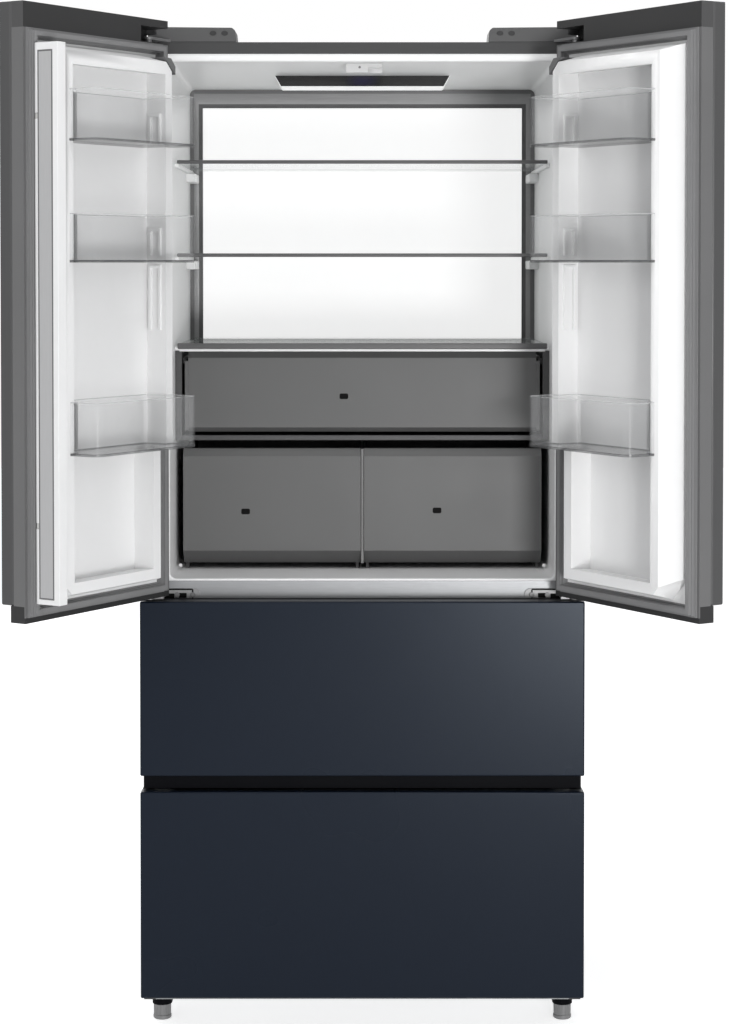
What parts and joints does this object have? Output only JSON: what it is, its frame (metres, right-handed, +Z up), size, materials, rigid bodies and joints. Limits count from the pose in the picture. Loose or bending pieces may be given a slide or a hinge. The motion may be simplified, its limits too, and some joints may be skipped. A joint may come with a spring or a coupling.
{
  "type": "french door refrigerator",
  "caption": "Free-standing refrigerator with two opening doors over a shelved compartment with crispers, and full-width freezer drawers below.",
  "frame": {"origin": "floor level, at the middle of the whole part's box with both doors open as stored", "axes": "+Z up, +X to the right as seen from the front, +Y from the front to the back"},
  "size_m": [1.257, 1.0649, 1.9],
  "materials": {
    "case_steel": "satin grey paint",
    "back_steel": "plain galvanised and painted sheet",
    "navy_steel": "satin dark blue, finely brushed",
    "bar_steel": "brushed",
    "zinc_steel": "zinc plated",
    "foam": "rigid insulating foam, closed cell",
    "white_liner": "satin white",
    "white_gloss": "gloss white",
    "duct_grey": "brushed grey metal look",
    "trim_grey": "satin grey",
    "dark_plastic": "satin dark grey",
    "cap_plastic": "matt dark grey",
    "black_plastic": "matt black",
    "black_enamel": "black enamel",
    "black_glass": "gloss black",
    "shelf_glass": "clear toughened",
    "clear_plastic": "clear moulded plastic",
    "crisper_grey": "smoked grey, satin",
    "seal_rubber": "soft grey seal",
    "drawer_core": "dark grey inner panel over foam",
    "roller_plastic": "grey nylon"
  },
  "bodies": {
    "cabinet": {"case_wrap": "case_steel", "rear_panel": "back_steel", "cabinet_foam": "foam", "fridge_liner": "white_liner", "freezer_liner": "white_liner", "crossbars": "bar_steel", "duct_panel": "white_gloss", "duct_frame": "duct_grey", "ceiling_console": "white_gloss", "display_glass": "black_glass", "glass_shelves": "shelf_glass", "shelf_trims": "trim_grey", "crisper_cover": "shelf_glass", "crisper_frame": "dark_plastic", "mullion_guide": "white_gloss", "hinge_brackets": "zinc_steel", "hinge_covers": "cap_plastic", "hinge_screws": "zinc_steel", "freezer_rails": "zinc_steel", "evaporator_cover": "white_liner", "base_pan": "back_steel", "foot_housings": "black_plastic", "compressor": "black_enamel", "machine_cover": "back_steel", "cord_gland": "black_plastic"},
    "left_door": {"left_skin": "navy_steel", "left_foam": "foam", "left_liner": "white_liner", "left_caps": "cap_plastic", "left_gasket": "seal_rubber", "left_bins": "clear_plastic", "mullion_hinges": "zinc_steel"},
    "mullion": {"mullion_bar": "white_gloss", "mullion_insert": "bar_steel"},
    "right_door": {"right_skin": "navy_steel", "right_foam": "foam", "right_liner": "white_liner", "right_caps": "cap_plastic", "right_gasket": "seal_rubber", "right_bins": "clear_plastic"},
    "upper_drawer": {"upper_front": "navy_steel", "upper_core": "drawer_core", "upper_gasket": "seal_rubber", "upper_basket": "white_liner", "upper_rails": "zinc_steel"},
    "upper_slide_members": {"upper_slides": "zinc_steel"},
    "lower_drawer": {"lower_front": "navy_steel", "lower_core": "drawer_core", "lower_gasket": "seal_rubber", "lower_basket": "white_liner", "lower_rails": "zinc_steel"},
    "lower_slide_members": {"lower_slides": "zinc_steel"},
    "wide_crisper_box": {"wide_crisper": "crisper_grey"},
    "left_crisper_box": {"left_crisper": "crisper_grey"},
    "right_crisper_box": {"right_crisper": "crisper_grey"},
    "fan": {"fan_rotor": "black_plastic"},
    "left_levelling_foot": {"left_foot": "black_plastic"},
    "right_levelling_foot": {"right_foot": "black_plastic"},
    "left_rear_roller": {"left_roller": "roller_plastic"},
    "right_rear_roller": {"right_roller": "roller_plastic"}
  },
  "joints": [
    {"name": "left_door_hinge", "type": "hinge", "parent": "cabinet", "child": "left_door", "pos_m": [-0.3995, -0.146, 0.825], "axis": [0, 0, -1], "range_deg": [-122, 0]},
    {"name": "right_door_hinge", "type": "hinge", "parent": "cabinet", "child": "right_door", "pos_m": [0.3995, -0.146, 0.825], "axis": [0, 0, 1], "range_deg": [-122, 0]},
    {"name": "mullion_fold", "type": "hinge", "parent": "left_door", "child": "mullion", "pos_m": [-0.55248, -0.50027, 0.861], "axis": [0, 0, 1], "range_deg": [-90, 0]},
    {"name": "upper_drawer_slide", "type": "slide", "parent": "cabinet", "child": "upper_drawer", "axis": [0, -1, 0], "range_m": [0, 0.42]},
    {"name": "upper_member_slide", "type": "slide", "parent": "cabinet", "child": "upper_slide_members", "axis": [0, -1, 0], "range_m": [0, 0.21]},
    {"name": "lower_drawer_slide", "type": "slide", "parent": "cabinet", "child": "lower_drawer", "axis": [0, -1, 0], "range_m": [0, 0.42]},
    {"name": "lower_member_slide", "type": "slide", "parent": "cabinet", "child": "lower_slide_members", "axis": [0, -1, 0], "range_m": [0, 0.21]},
    {"name": "wide_crisper_slide", "type": "slide", "parent": "cabinet", "child": "wide_crisper_box", "axis": [0, -1, 0], "range_m": [0, 0.25]},
    {"name": "left_crisper_slide", "type": "slide", "parent": "cabinet", "child": "left_crisper_box", "axis": [0, -1, 0], "range_m": [0, 0.3]},
    {"name": "right_crisper_slide", "type": "slide", "parent": "cabinet", "child": "right_crisper_box", "axis": [0, -1, 0], "range_m": [0, 0.3]},
    {"name": "fan_spin", "type": "hinge", "parent": "cabinet", "child": "fan", "pos_m": [0, 0.397, 0.67], "axis": [0, 1, 0], "continuous": true},
    {"name": "left_foot_turn", "type": "hinge", "parent": "cabinet", "child": "left_levelling_foot", "pos_m": [-0.384, -0.068, 0], "axis": [0, 0, 1], "continuous": true},
    {"name": "right_foot_turn", "type": "hinge", "parent": "cabinet", "child": "right_levelling_foot", "pos_m": [0.384, -0.068, 0], "axis": [0, 0, 1], "continuous": true},
    {"name": "left_roller_spin", "type": "hinge", "parent": "cabinet", "child": "left_rear_roller", "pos_m": [-0.3715, 0.47, 0.02], "axis": [1, 0, 0], "continuous": true},
    {"name": "right_roller_spin", "type": "hinge", "parent": "cabinet", "child": "right_rear_roller", "pos_m": [0.3715, 0.47, 0.02], "axis": [1, 0, 0], "continuous": true}
  ],
  "couplings": [
    {"joint": "mullion_fold", "follows": "left_door_hinge", "ratio": 0.7377},
    {"joint": "upper_member_slide", "follows": "upper_drawer_slide", "ratio": 0.5},
    {"joint": "lower_member_slide", "follows": "lower_drawer_slide", "ratio": 0.5}
  ]
}
